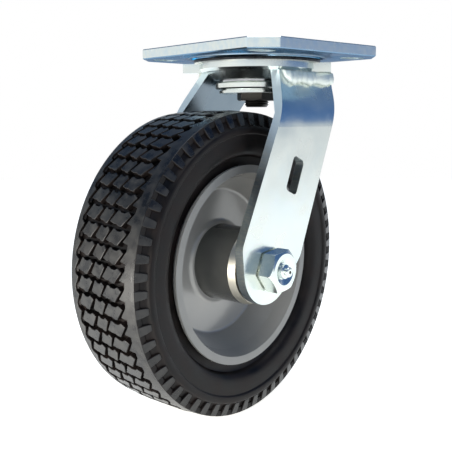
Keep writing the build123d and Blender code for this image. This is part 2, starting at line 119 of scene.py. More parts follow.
# Each lamp: name, place and target in metres, side in metres, power in watts and colour
LAMPS = (
    ("low_card", (-0.27, -0.03, -0.178), (-0.13, -0.01, -0.13), 0.2, 1.3, "FFFAF2"),
    ("overhead", (0.1, -0.3, 1.1), (-0.02, 0.0, -0.09), 0.9, 6.0, "FFFFFF"),
)


def linear(hex_colour):
    """An sRGB hex colour such as 8A8C90 as linear red, green, blue and alpha."""
    channels = [int(hex_colour[i:i + 2], 16) / 255 for i in (0, 2, 4)]
    curve = [c / 12.92 if c <= 0.04045 else ((c + 0.055) / 1.055) ** 2.4 for c in channels]
    return (*curve, 1.0)


def add_node(tree, kind, inputs=None, **settings):
    """Adds a node, gives it its settings, and sets or links each named input."""
    node = tree.nodes.new(kind)
    for name, value in settings.items():
        setattr(node, name, value)
    for name, value in (inputs or {}).items():
        if isinstance(value, bpy.types.NodeSocket):
            tree.links.new(value, node.inputs[name])
        else:
            node.inputs[name].default_value = value
    return node


def new_material(name):
    """An empty node material with its shader and output; returns material, tree and shader."""
    material = bpy.data.materials.new(name)
    material.use_nodes = True
    tree = material.node_tree
    tree.nodes.clear()
    shader = add_node(tree, "ShaderNodeBsdfPrincipled")
    add_node(tree, "ShaderNodeOutputMaterial", {"Surface": shader.outputs["BSDF"]})
    return material, tree, shader


def link(tree, source, shader, name):
    """Leads a node's output to the shader's named input."""
    tree.links.new(source, shader.inputs[name])


def zinc_plate(name, cool, warm, glance, roughness, relief):
    """Zinc plate between a cool and a warm tint, with glance as its tint at grazing angles."""
    # Steel strip, electroplated with bright zinc and passivated: a cool mirror softened by the
    # strip's rolled grain, with faint cloudy changes of tint and gloss over slow waves. Relief is
    # the grain's depth in mm. The real grain is finer than the one drawn, which has to show.
    cloud_size, grain_size, wave_length, wave_height = 14 * MM, 0.9 * MM, 24 * MM, 0.8 * MM
    material, tree, shader = new_material(name)
    place = add_node(tree, "ShaderNodeTexCoord").outputs["Object"]
    cloud = add_node(
        tree, "ShaderNodeTexNoise", {"Vector": place, "Scale": 1 / cloud_size, "Detail": 3.0}
    )
    tint = add_node(
        tree, "ShaderNodeMix", {"Factor": cloud.outputs["Fac"], "A": cool, "B": warm},
        data_type="RGBA",
    )
    gloss = add_node(
        tree, "ShaderNodeMapRange",
        {
            "Value": cloud.outputs["Fac"], "From Min": 0.3, "From Max": 0.7,
            "To Min": roughness, "To Max": roughness + 0.14,
        },
    )
    wave = add_node(
        tree, "ShaderNodeTexNoise", {"Vector": place, "Scale": 1 / wave_length, "Detail": 1.0}
    )
    wavy = add_node(
        tree, "ShaderNodeBump",
        {"Height": wave.outputs["Fac"], "Strength": 0.6, "Distance": wave_height},
    )
    grain = add_node(
        tree, "ShaderNodeTexNoise", {"Vector": place, "Scale": 1 / grain_size, "Detail": 4.0}
    )
    bump = add_node(
        tree, "ShaderNodeBump",
        {
            "Height": grain.outputs["Fac"], "Strength": 0.1, "Distance": relief * MM,
            "Normal": wavy.outputs["Normal"],
        },
    )
    link(tree, tint.outputs["Result"], shader, "Base Color")
    link(tree, gloss.outputs["Result"], shader, "Roughness")
    link(tree, bump.outputs["Normal"], shader, "Normal")
    shader.inputs["Metallic"].default_value = 1.0
    shader.inputs["Specular Tint"].default_value = glance
    return material


def bright_zinc(colours):
    # Clear passivated zinc, as it leaves the bath: nearly colourless and at its brightest.
    white = linear("FFFFFF")
    return zinc_plate("bright_zinc_plate", colours.zinc_cool, colours.zinc_warm, white, 0.16, 0.012)


def painted_reflection_zinc(colours):
    # The same plating tinted dark blue, also at grazing angles, with pale clouds: a painted
    # reflection of blue surroundings and shade on the plate's underside.
    blue, pale = colours.painted_underside_blue, colours.edge_dark
    return zinc_plate("zinc_with_painted_blue_reflection", blue, pale, blue, 0.18, 0.012)


def inner_shade_zinc(colours):
    # The same plating on the legs' inner faces, darkened grey with painted shade towards the wheel.
    dark, light = colours.inner_shade_dark, colours.inner_shade_light
    return zinc_plate("zinc_with_painted_inner_shade", dark, light, light, 0.18, 0.012)


def weld_zinc(colours):
    # Weld metal under the same plating: duller and rougher than the rolled strip.
    white = linear("FFFFFF")
    return zinc_plate("zinc_plated_weld", colours.zinc_cool, colours.zinc_warm, white, 0.5, 0.15)


def cut_zinc(name, colours, dark, grain, painted_light_from=None):
    """A plated edge with drawn lines; grain is their mm along X, Y and Z."""
    # Strip cut before it was plated: lines drawn through the thickness, duller and darker than
    # the faces. From a given height up the zinc turns paler and less metallic, fully 30 mm higher:
    # painted light on the edges' upper part.
    line_depth, painted_light_rise = 0.1 * MM, 30 * MM
    material, tree, shader = new_material(name)
    place = add_node(tree, "ShaderNodeTexCoord").outputs["Object"]
    drawn = add_node(
        tree, "ShaderNodeMapping",
        {"Vector": place, "Scale": [1 / (length * MM) for length in grain]},
    )
    lines = add_node(
        tree, "ShaderNodeTexNoise",
        {"Vector": drawn.outputs["Vector"], "Scale": 1.0, "Detail": 4.0},
    )
    tint = add_node(
        tree, "ShaderNodeMix",
        {"Factor": lines.outputs["Fac"], "A": dark, "B": colours.zinc_warm},
        data_type="RGBA",
    )
    bump = add_node(
        tree, "ShaderNodeBump",
        {"Height": lines.outputs["Fac"], "Strength": 0.4, "Distance": line_depth},
    )
    link(tree, bump.outputs["Normal"], shader, "Normal")
    shader.inputs["Roughness"].default_value = 0.3
    if painted_light_from is None:
        link(tree, tint.outputs["Result"], shader, "Base Color")
        shader.inputs["Metallic"].default_value = 1.0
        return material

    # Painted light: above the given height the edge turns paler and less metallic.
    height = add_node(tree, "ShaderNodeSeparateXYZ", {"Vector": place}).outputs["Z"]
    painted_light_start = painted_light_from * MM
    bloom = add_node(
        tree, "ShaderNodeMapRange",
        {"Value": height, "From Min": painted_light_start, "From Max": painted_light_start + painted_light_rise},
    )
    metal = add_node(
        tree, "ShaderNodeMapRange",
        {"Value": bloom.outputs["Result"], "To Min": 1.0, "To Max": 0.4},
    )
    pale = add_node(
        tree, "ShaderNodeMix",
        {"Factor": bloom.outputs["Result"], "A": tint.outputs["Result"], "B": colours.zinc_cool},
        data_type="RGBA",
    )
    link(tree, pale.outputs["Result"], shader, "Base Color")
    link(tree, metal.outputs["Result"], shader, "Metallic")
    return material


def punched_zinc(colours):
    # The plate's punched sides: short lines, paler than on the legs.
    return cut_zinc("punched_zinc_edge", colours, colours.edge_light, (2.5, 2.5, 4.0))


def sheared_zinc(colours):
    # The legs' sheared sides: lines right across the strip, dark low down and paler near the
    # head, where the light is painted in.
    lines = (0.7, 5.0, 0.7)
    return cut_zinc("sheared_zinc_edge", colours, colours.edge_dark, lines, painted_light_from=-65)


def one_tint_metal(name, tint, metallic, patch, detail, glossy, dull):
    """A metal of one tint whose gloss wanders between two roughnesses, in patches of so many mm."""
    material, tree, shader = new_material(name)
    place = add_node(tree, "ShaderNodeTexCoord").outputs["Object"]
    film = add_node(
        tree, "ShaderNodeTexNoise", {"Vector": place, "Scale": 1 / (patch * MM), "Detail": detail}
    )
    gloss = add_node(
        tree, "ShaderNodeMapRange",
        {"Value": film.outputs["Fac"], "To Min": glossy, "To Max": dull},
    )
    link(tree, gloss.outputs["Result"], shader, "Roughness")
    shader.inputs["Base Color"].default_value = tint
    shader.inputs["Metallic"].default_value = metallic
    return material


def faced_metal(colours):
    # The hub's ends as the lathe left them: bare and bright, the gloss broken by fine tool marks,
    # which are drawn coarser than they are.
    # Its warm cream tint is a painted reflection.
    return one_tint_metal("lathe_faced_metal", colours.faced_metal, 1.0, 0.4, 2.0, 0.34, 0.42)


def black_oxide(colours):
    # Hot blackened steel, lightly oiled: nearly black, with a dull satin gleam on its edges.
    return one_tint_metal("black_oxide_steel", colours.black_oxide, 0.6, 1.5, 3.0, 0.25, 0.5)


def ground_steel(colours):
    # Hardened bearing steel, ground: clean and mirror-like, under a patchy film of grease.
    return one_tint_metal("ground_bearing_steel", colours.ground_steel, 1.0, 3, 3.0, 0.1, 0.26)


def rubber(name, dark, light, patch, roughness, shine):
    """Rubber whose tint wanders between two colours, in patches of that many mm."""
    # The grain of the steel mould is drawn coarser than it is, so that it breaks up the gloss.
    grain_size, grain_depth = 0.7 * MM, 0.06 * MM
    material, tree, shader = new_material(name)
    place = add_node(tree, "ShaderNodeTexCoord").outputs["Object"]
    bloom = add_node(
        tree, "ShaderNodeTexNoise", {"Vector": place, "Scale": 1 / (patch * MM), "Detail": 5.0}
    )
    spread = add_node(
        tree, "ShaderNodeMapRange",
        {"Value": bloom.outputs["Fac"], "From Min": 0.35, "From Max": 0.65},
    )
    tint = add_node(
        tree, "ShaderNodeMix", {"Factor": spread.outputs["Result"], "A": dark, "B": light},
        data_type="RGBA",
    )
    gloss = add_node(
        tree, "ShaderNodeMapRange",
        {
            "Value": spread.outputs["Result"],
            "To Min": roughness - 0.06, "To Max": roughness + 0.08,
        },
    )
    grain = add_node(
        tree, "ShaderNodeTexNoise", {"Vector": place, "Scale": 1 / grain_size, "Detail": 4.0}
    )
    bump = add_node(
        tree, "ShaderNodeBump",
        {"Height": grain.outputs["Fac"], "Strength": 0.3, "Distance": grain_depth},
    )
    link(tree, tint.outputs["Result"], shader, "Base Color")
    link(tree, gloss.outputs["Result"], shader, "Roughness")
    link(tree, bump.outputs["Normal"], shader, "Normal")
    shader.inputs["Specular IOR Level"].default_value = shine
    return material


def moulded_rubber(colours):
    # Solid rubber as it leaves a steel mould: brownish black and satin, with a faint bloom.
    dark, light = colours.rubber_dark, colours.rubber_light
    return rubber("moulded_tyre_rubber", dark, light, 9, 0.42, 0.19)


def grey_tread_rubber(colours):
    # The same rubber on the faces that run on the ground: a little greyer and shinier.
    dark, light = colours.tread_dark, colours.tread_light
    return rubber("grey_tread_face_rubber", dark, light, 5, 0.3, 0.45)


def seal_rubber(colours):
    # Nitrile lip seals: jet black, a little oily.
    dark, light = colours.rubber_dark, colours.seal_sheen
    return rubber("oily_nitrile_rubber", dark, light, 3, 0.3, 0.4)


def enamel(name, dark, light, metallic, roughness):
    """Stoved enamel between two tints, with its own gloss."""
    # The enamel has flowed into faint clouds, under the fine orange peel that a spray gun leaves.
    cloud_size, peel_size, peel_depth = 16 * MM, 2.2 * MM, 0.02 * MM
    material, tree, shader = new_material(name)
    place = add_node(tree, "ShaderNodeTexCoord").outputs["Object"]
    cloud = add_node(
        tree, "ShaderNodeTexNoise", {"Vector": place, "Scale": 1 / cloud_size, "Detail": 3.0}
    )
    tint = add_node(
        tree, "ShaderNodeMix", {"Factor": cloud.outputs["Fac"], "A": dark, "B": light},
        data_type="RGBA",
    )
    gloss = add_node(
        tree, "ShaderNodeMapRange",
        {
            "Value": cloud.outputs["Fac"],
            "To Min": roughness - 0.04, "To Max": roughness + 0.06,
        },
    )
    peel = add_node(
        tree, "ShaderNodeTexNoise", {"Vector": place, "Scale": 1 / peel_size, "Detail": 2.0}
    )
    bump = add_node(
        tree, "ShaderNodeBump",
        {"Height": peel.outputs["Fac"], "Strength": 0.15, "Distance": peel_depth},
    )
    link(tree, tint.outputs["Result"], shader, "Base Color")
    link(tree, gloss.outputs["Result"], shader, "Roughness")
    link(tree, bump.outputs["Normal"], shader, "Normal")
    shader.inputs["Metallic"].default_value = metallic
    return material


def grey_enamel(colours):
    # Die-cast wheel core under smooth silver-grey enamel: semi-gloss and faintly metallic.
    dark, light = colours.enamel_dark, colours.enamel_light
    return enamel("silver_grey_enamel", dark, light, 0.25, 0.19)


def barrel_shade_enamel(colours):
    # The hub's barrel: darker and more metallic than the rest of the enamel, with painted shade.
    dark, light = colours.barrel_shade_dark, colours.barrel_shade_light
    return enamel("barrel_enamel_with_painted_shade", dark, light, 0.4, 0.2)


def lip_shade_enamel(colours):
    # The rim's lip: rougher than the rest of the enamel, and darker with painted shade.
    dark, light = colours.lip_shade_dark, colours.lip_shade_light
    return enamel("lip_enamel_with_painted_shade", dark, light, 0.2, 0.36)


def light_table(colours, glow):
    # Opal acrylic lit from below: an even pale ground without gloss.
    material, _, shader = new_material("translucent_light_table")
    shader.inputs["Base Color"].default_value = colours.floor
    shader.inputs["Roughness"].default_value = 0.9
    shader.inputs["Emission Color"].default_value = colours.floor
    shader.inputs["Emission Strength"].default_value = glow
    return material


def dress(names, material):
    """Gives each named CAD node one material on all its faces."""
    for name in names:
        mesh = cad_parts[name].data
        mesh.materials.clear()
        mesh.materials.append(material)
        mesh.polygons.foreach_set("material_index", [0] * len(mesh.polygons))


def dress_faces(name, material, is_there):
    """Gives another material to a CAD node's faces where is_there(centre, normal) holds."""
    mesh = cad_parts[name].data
    mesh.materials.append(material)
    slot_number = len(mesh.materials) - 1
    for face in mesh.polygons:
        if is_there(face.center, face.normal):
            face.material_index = slot_number


def wheel_point(across, angle, radius):
    """A place in metres from mm along the axle, degrees round it and mm from it."""
    turn = math.radians(angle)
    forward = AXLE_X + radius * math.cos(turn)
    height = AXLE_Z + radius * math.sin(turn)
    return FORK @ Vector((forward * MM, across * MM, height * MM))


def pin_point(along, angle, radius):
    """A place in metres from mm up the swivel axis, degrees round it and mm from it."""
    turn = math.radians(angle)
    return Vector((radius * math.cos(turn) * MM, radius * math.sin(turn) * MM, along * MM))


def axle_offset(centre):
    """How many mm a place is from the axle, and along it from the wheel's middle."""
    offset = centre - wheel_point(0, 0, 0)
    along = offset.dot(AXLE_LINE)
    return (offset - along * AXLE_LINE).length / MM, abs(along) / MM


def on_barrel(centre, _):
    """Whether a wheel core's face lies on the hub's barrel."""
    away, along = axle_offset(centre)
    return HUB_BARREL[0] < away < HUB_BARREL[1] and along < HUB_END


def on_hub_end(centre, _):
    """Whether a wheel core's face lies on the hub's lathe-faced end."""
    return axle_offset(centre)[1] > HUB_END


def on_rim_lip(centre, normal):
    """Whether a wheel core's face is the flat of the rim's lip."""
    squarely = 0.9
    away = axle_offset(centre)[0]
    return RIM_LIP[0] < away < RIM_LIP[1] and abs(normal.dot(AXLE_LINE)) > squarely


def finish_mesh(name, shape, materials, body, sharp=30.0):
    """Turns a bmesh into a piece that rides on a body, smooth except at its sharp edges."""
    bmesh.ops.recalc_face_normals(shape, faces=shape.faces)
    mesh = bpy.data.meshes.new(name)
    shape.to_mesh(mesh)
    shape.free()
    for material in materials:
        mesh.materials.append(material)
    mesh.shade_smooth()
    mesh.set_sharp_from_angle(angle=math.radians(sharp))
    piece = bpy.data.objects.new(name, mesh)
    bpy.context.collection.objects.link(piece)
    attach(piece, body)
    return piece


def soften(piece, width, limit=35.0):
    """Rounds a piece's edges that turn by more than limit degrees, by a width in metres."""
    bevel = piece.modifiers.new("edge_breaks", "BEVEL")
    bevel.width = width
    bevel.segments = 2
    bevel.limit_method = "ANGLE"
    bevel.angle_limit = math.radians(limit)


def join_rings(shape, here, there):
    """Adds the band of faces between two closed rings of corners."""
    for i in range(len(here)):
        j = (i + 1) % len(here)
        shape.faces.new((here[i], here[j], there[j], there[i]))


def turn_rows(shape, rows, place, steps=72, first_angle=0.0):
    """Adds a turned skin; each row is (along, radius), or a function that gives it at an angle."""
    rings = []
    for row in rows:
        ring = []
        for step in range(steps):
            angle = first_angle + 360 * step / steps
            along, radius = row(angle) if callable(row) else row
            ring.append(shape.verts.new(place(along, angle, radius)))
        rings.append(ring)
    for here, there in zip(rings[:-1], rings[1:]):
        join_rings(shape, here, there)
    # A row on the axis itself shrinks to one corner.
    bmesh.ops.remove_doubles(shape, verts=shape.verts, dist=0.001 * MM)


def hex_radius(angle, flats, corner):
    """How far a hexagon's side is from its middle at an angle, with one corner at another."""
    swing = (angle - corner) % 60 - 30
    return flats / 2 / math.cos(math.radians(swing))


def thread_rows(start, end, crest, pitch, depth):
    """Rows of a screw thread's crests and roots from start to end along its axis."""
    crest_end, root, next_crest = 0.12, 0.5, 0.88
    step = pitch if end > start else -pitch
    rows = []
    for i in range(int(abs(end - start) / pitch)):
        at = start + i * step
        rows += [(at, crest), (at + crest_end * step, crest)]
        rows += [(at + root * step, crest - depth), (at + next_crest * step, crest)]
    return rows


def bolt_rows(sizes, corner):
    """The axle bolt's skin in mm, from its grease bore over the head to the thread's end."""
    crest = sizes.axle_diameter / MM / 2
    flats = sizes.head_flats / MM
    face = sizes.head_face / MM
    washer_face = sizes.washer_face / MM
    leg_face, head_base, head_top, tail_end = -35.9, -36.7, -44.7, 50.2
    bore, dish_foot, dish_rim, head_chamfer = 3.02, 3.9, 6.6, 30
    thread_start, pitch, depth, tail_chamfer = 33.0, 1.95, 0.75, 1.0
    tail = tail_end - tail_chamfer

    def facet_top(angle):
        radius = hex_radius(angle, flats, corner)
        return head_top + (radius - face) * math.tan(math.radians(head_chamfer)), radius

    def facet_base(angle):
        return head_base, hex_radius(angle, flats, corner)

    rows = [(BORE_FLOOR, 0.0), (BORE_FLOOR, bore), (DISH_FLOOR, bore), (DISH_FLOOR, dish_foot)]
    rows += [(head_top, dish_rim), (head_top, face), facet_top, facet_base]
    rows += [(head_base, washer_face), (leg_face, washer_face)]
    rows += [(leg_face, crest), (thread_start, crest)]
    rows += thread_rows(thread_start, tail, crest, pitch, depth)
    rows += [(tail, crest - depth), (tail_end, crest - tail_chamfer - depth / 2), (tail_end, 0.0)]
    return rows


def fitting_rows():
    """The grease fitting's skin in mm: shank, collar, neck, round tip and the valve's pit."""
    shank, collar, neck, tip, mouth, pit = 2.95, 3.5, 1.7, 2.5, 0.75, 0.7
    shank_end = BORE_FLOOR + 0.02
    rows = [(shank_end, 0.0), (shank_end, shank), (DISH_FLOOR, shank), (DISH_FLOOR, collar)]
    rows += [(-44.9, collar), (-45.3, 3.0), (-45.7, 1.75), (-46.2, neck), (-46.5, 2.3)]
    rows += [(-46.9, tip), (-47.3, 2.2), (-47.5, 1.6), (-47.5, mouth), (-46.9, pit), (-46.8, 0.0)]
    return rows


def kingpin_rows():
    """The kingpin's skin in mm: flat head, shoulder, and the thread under its nut."""
    top, head_under, shoulder_under, thread_top, end = -1.02, -3.9, -19.56, -24.0, -30.31
    head, shoulder, crest, chamfer, pitch, depth = 11.0, 8.0, 6.35, 1.0, 1.27, 0.55
    rows = [(top, 0.0), (top, head), (head_under, head), (head_under, shoulder)]
    rows += [(shoulder_under, shoulder), (shoulder_under, crest)]
    rows += thread_rows(thread_top, end + pitch / 2, crest, pitch, depth)
    rows += [(end, crest - chamfer), (end, 0.0)]
    return rows


def bead_fullness(along, share, ripple, side):
    """How full a weld bead is, at mm along the fork and at a share of its own length."""
    # Uneven ripples, slow swells and small lumps, each a share of the bead's size with its own
    # turn in radians a mm. The ends start slim and fill out over a few steps.
    ripple_share, swell_share, lump_share = 0.035, 0.07, 0.04
    uneven_turn, swell_turn, lump_turn = 0.6, 0.47, 1.3
    end_share, end_rise = 0.6, 9
    uneven = 0.9 * math.sin(along * uneven_turn)
    ripples = ripple_share * math.sin(2 * math.pi * along / ripple + uneven)
    swells = swell_share * math.sin(along * swell_turn + side)
    lumps = lump_share * math.sin(along * lump_turn)
    taper = min(1.0, end_rise * share + end_share, end_rise * (1 - share) + end_share)
    return (1.0 + ripples + swells + lumps) * taper


def bead_ring(shape, along, side, fullness):
    """Adds one section of a weld bead: a quarter round between yoke base and leg, and its root."""
    root_across, root_height, thickness, drop = 26.0, -12.5, 4.4, 6.4
    leg_lean, sunk, steps = math.tan(math.radians(26.2)), 0.98, 10
    ring = []
    for i in range(steps + 1):
        turn = math.radians(90 * i / steps)
        out = thickness * fullness * math.cos(turn)
        down = drop * fullness * math.sin(turn)
        across = root_across + out + down * leg_lean * sunk
        corner = Vector((along, side * across, root_height - down))
        ring.append(shape.verts.new(FORK @ (corner * MM)))
    root = Vector((along, side * root_across, root_height))
    ring.append(shape.verts.new(FORK @ (root * MM)))
    return ring


def crown_radius(across):
    """The tread's radius in mm at a distance in mm from the tyre's middle."""
    fall = max(0.0, abs(across) - CROWN_HALF) / CROWN_HALF
    return TREAD_RADIUS - CROWN_FALL * fall


def carcass_profile(tyre):
    """The tyre without its tread blocks: (across, radius) in mm, a closed ring."""
    # Half of it, from the tread's floor over the shoulder and the sidewall's raised ring, then
    # down the hollow beside the rim to the lip.
    floor = TREAD_RADIUS - tyre.groove_depth / MM
    half = [
        (16.0, floor), (18.6, floor), (20.0, floor - 0.8), (20.9, 71.9), (21.6, 70.0),
        (22.2, 69.2), (22.8, 68.8), (23.35, 68.4), (23.6, 67.9), (23.6, 65.6), (23.35, 65.1),
        (22.9, 64.8), (22.85, 62.0), (22.7, 59.0), (22.3, 57.0), (21.5, 55.5), (20.2, 54.6),
        (18.7, 53.8), (17.9, 52.0), (18.0, 49.4), (16.0, 47.2),
    ]
    return [(-across, radius) for across, radius in reversed(half)] + half


def raise_carcass(shape, tyre):
    """Adds the tyre's body, turned round the axle."""
    profile = carcass_profile(tyre)
    steps = 4 * tyre.block_count
    rings = []
    for step in range(steps):
        angle = 360 * step / steps
        rings.append([shape.verts.new(wheel_point(a, angle, r)) for a, r in profile])
    for step in range(steps):
        join_rings(shape, rings[step], rings[(step + 1) % steps])


def raise_block(shape, outline, depth, draft):
    """Adds one tread block: outline is (across mm, angle) at its top, and draft widens its foot."""
    middle_across = sum(a for a, _ in outline) / len(outline)
    middle_angle = sum(t for _, t in outline) / len(outline)
    top, foot = [], []
    for across, angle in outline:
        radius = crown_radius(across)
        top.append(shape.verts.new(wheel_point(across, angle, radius)))
        out_across = across + draft * (1 if across > middle_across else -1)
        spread = math.degrees(draft / TREAD_RADIUS)
        out_angle = angle + spread * (1 if angle > middle_angle else -1)
        foot.append(shape.verts.new(wheel_point(out_across, out_angle, radius - depth)))
    shape.faces.new(top).material_index = TREAD_FACE
    join_rings(shape, top, foot)


def raise_column(shape, tyre, column):
    """Adds one column of tread blocks round the tyre."""
    # The blocks lean: each one's ends step sideways, and the cross cuts between them bend like
    # a bat's wings. Places are shares of the column's width and of the pitch.
    block = (
        (0.76, 0.22), (0.72, 0.10), (0.62, 0.10), (0.52, 0.21), (0.34, 0.24), (0.19, 0.12),
        (0.01, 0.34), (0.26, 0.86), (0.34, 1.05), (0.50, 1.02), (0.62, 0.92), (0.80, 0.90),
        (1.0, 0.78),
    )
    near_edge, far_edge, phase = column
    pitch = 360 / tyre.block_count
    for k in range(tyre.block_count):
        start = phase + k * pitch
        outline = []
        for a, t in block:
            across = near_edge + (0.5 + (a - 0.5) * tyre.block_share) * (far_edge - near_edge)
            angle = start + (0.5 + (t - 0.5) * tyre.block_share) * pitch
            outline.append((across, angle))
        raise_block(shape, outline, tyre.groove_depth / MM, tyre.block_draft / MM)


def raise_rib(shape, tyre, teeth, outer, phase):
    """Adds an unbroken rib: teeth is one pitch of its toothed edge, (across mm, share of pitch)."""
    count = tyre.block_count
    pitch = 360 / count
    plain = [(outer, teeth[0][1]), (outer, teeth[0][1] + 0.5)]
    edges = []
    for row in (teeth, plain):
        places = [(a, phase + (k + turn) * pitch) for k in range(count) for a, turn in row]
        for sink in (0.0, tyre.groove_depth / MM):
            corners = [wheel_point(a, angle, crown_radius(a) - sink) for a, angle in places]
            edges.append([shape.verts.new(corner) for corner in corners])
    tooth_top, tooth_foot, outer_top, outer_foot = edges
    each = len(teeth)
    for k in range(count):
        inner = [tooth_top[(each * k + i) % len(tooth_top)] for i in range(each + 1)]
        band = [outer_top[(2 * k + i) % len(outer_top)] for i in (2, 1, 0)]
        shape.faces.new(inner + band).material_index = TREAD_FACE
    join_rings(shape, tooth_top, tooth_foot)
    join_rings(shape, outer_top, outer_foot)


def raise_lug(shape, side, middle, pitch):
    """Adds one shoulder lug: its face carries the rib on, down to the sidewall's ring."""
    # The face's places: mm from the tyre's middle, mm from the axle, and share of the full width
    face_rows = (
        (19.4, 75.5, 1.0), (21.1, 75.2, 1.0), (22.0, 72.4, 0.96), (22.6, 70.2, 0.84),
        (22.9, 69.0, 0.7),
    )
    half_width, root_spread, root_depth = 0.27 * pitch, 0.25, 2.4
    face, root = [], []
    for across, radius, width in face_rows:
        half = half_width * width
        foot = half + root_spread
        depth, low = across - root_depth, radius - root_depth / 2
        ends = [middle - half, middle + half]
        feet = [middle - foot, middle + foot]
        face.append([shape.verts.new(wheel_point(side * across, end, radius)) for end in ends])
        root.append([shape.verts.new(wheel_point(side * depth, end, low)) for end in feet])
    for i in range(len(face) - 1):
        upper, lower = face[i], face[i + 1]
        shape.faces.new((upper[0], upper[1], lower[1], lower[0])).material_index = TREAD_FACE
        for end in (0, 1):
            shape.faces.new((upper[end], lower[end], root[i + 1][end], root[i][end]))
    for row in (0, -1):
        shape.faces.new((face[row][0], face[row][1], root[row][1], root[row][0]))


def height_ramp(tree, height, stops):
    """A colour ramp over the height of a direction, from (height, hex colour) stops."""
    ramp = add_node(tree, "ShaderNodeValToRGB", {"Fac": height})
    elements = ramp.color_ramp.elements
    while len(elements) < len(stops):
        elements.new(0.5)
    for element, (position, colour) in zip(elements, stops):
        element.position = position
        element.color = linear(colour)
    return ramp.outputs["Color"]


def studio_air(strength):
    """A softly graded dome: white round the horizon, blue above, and a blue wall to the right."""
    world = bpy.data.worlds.new("studio_air")
    world.use_nodes = True
    tree = world.node_tree
    tree.nodes.clear()
    place = add_node(tree, "ShaderNodeTexCoord").outputs["Generated"]
    height = add_node(tree, "ShaderNodeSeparateXYZ", {"Vector": place}).outputs["Z"]
    lifted = add_node(tree, "ShaderNodeMapRange", {"Value": height, "From Min": -0.5})
    open_side = height_ramp(tree, lifted.outputs["Result"], OPEN_SIDE)
    wall_side = height_ramp(tree, lifted.outputs["Result"], WALL_SIDE)
    facing = add_node(
        tree, "ShaderNodeVectorMath", {0: place, 1: WALL_DIRECTION}, operation="DOT_PRODUCT"
    )
    share = add_node(
        tree, "ShaderNodeMapRange",
        {"Value": facing.outputs["Value"], "From Min": 0.35, "From Max": 0.85},
    )
    dome = add_node(
        tree, "ShaderNodeMix",
        {"Factor": share.outputs["Result"], "A": open_side, "B": wall_side},
        data_type="RGBA",
    )
    air = add_node(
        tree, "ShaderNodeBackground", {"Color": dome.outputs["Result"], "Strength": strength}
    )
    add_node(tree, "ShaderNodeOutputWorld", {"Surface": air.outputs["Background"]})
    return world


def place_camera(context, stage):
    """Puts the camera where the photograph was taken from."""
    lens = bpy.data.cameras.new("castor_camera")
    lens.sensor_width = 36
    lens.lens = stage.lens
    lens.clip_start = 0.01
    camera = bpy.data.objects.new("castor_camera", lens)
    camera.location = stage.camera_place
    camera.rotation_euler = (math.radians(90) - stage.camera_dip, 0, stage.camera_turn)
    context.collection.objects.link(camera)
    context.scene.camera = camera


def lay_floor(context, stage, colours):
    """Lays the round floor under the tyre."""
    mesh = bpy.data.meshes.new("studio_floor")
    shape = bmesh.new()
    bmesh.ops.create_circle(
        shape, cap_ends=True, segments=96, radius=stage.floor_radius,
        matrix=Matrix.Translation((0, 0, CAD_BOX[0][2])),
    )
    shape.to_mesh(mesh)
    shape.free()
    floor = bpy.data.objects.new("studio_floor", mesh)
    context.collection.objects.link(floor)
    mesh.materials.append(light_table(colours, stage.table_glow))


def hang_lamps(context):
    """Adds the soft square lamps, each turned to its target."""
    for name, place, target, size, power, tint in LAMPS:
        light = bpy.data.lights.new(name, "AREA")
        light.size = size
        light.energy = power
        light.color = linear(tint)[:3]
        lamp = bpy.data.objects.new(name, light)
        lamp.location = place
        aim = Vector(target) - Vector(place)
        lamp.rotation_euler = aim.to_track_quat("-Z", "Y").to_euler()
        lamp.visible_camera = False
        context.collection.objects.link(lamp)


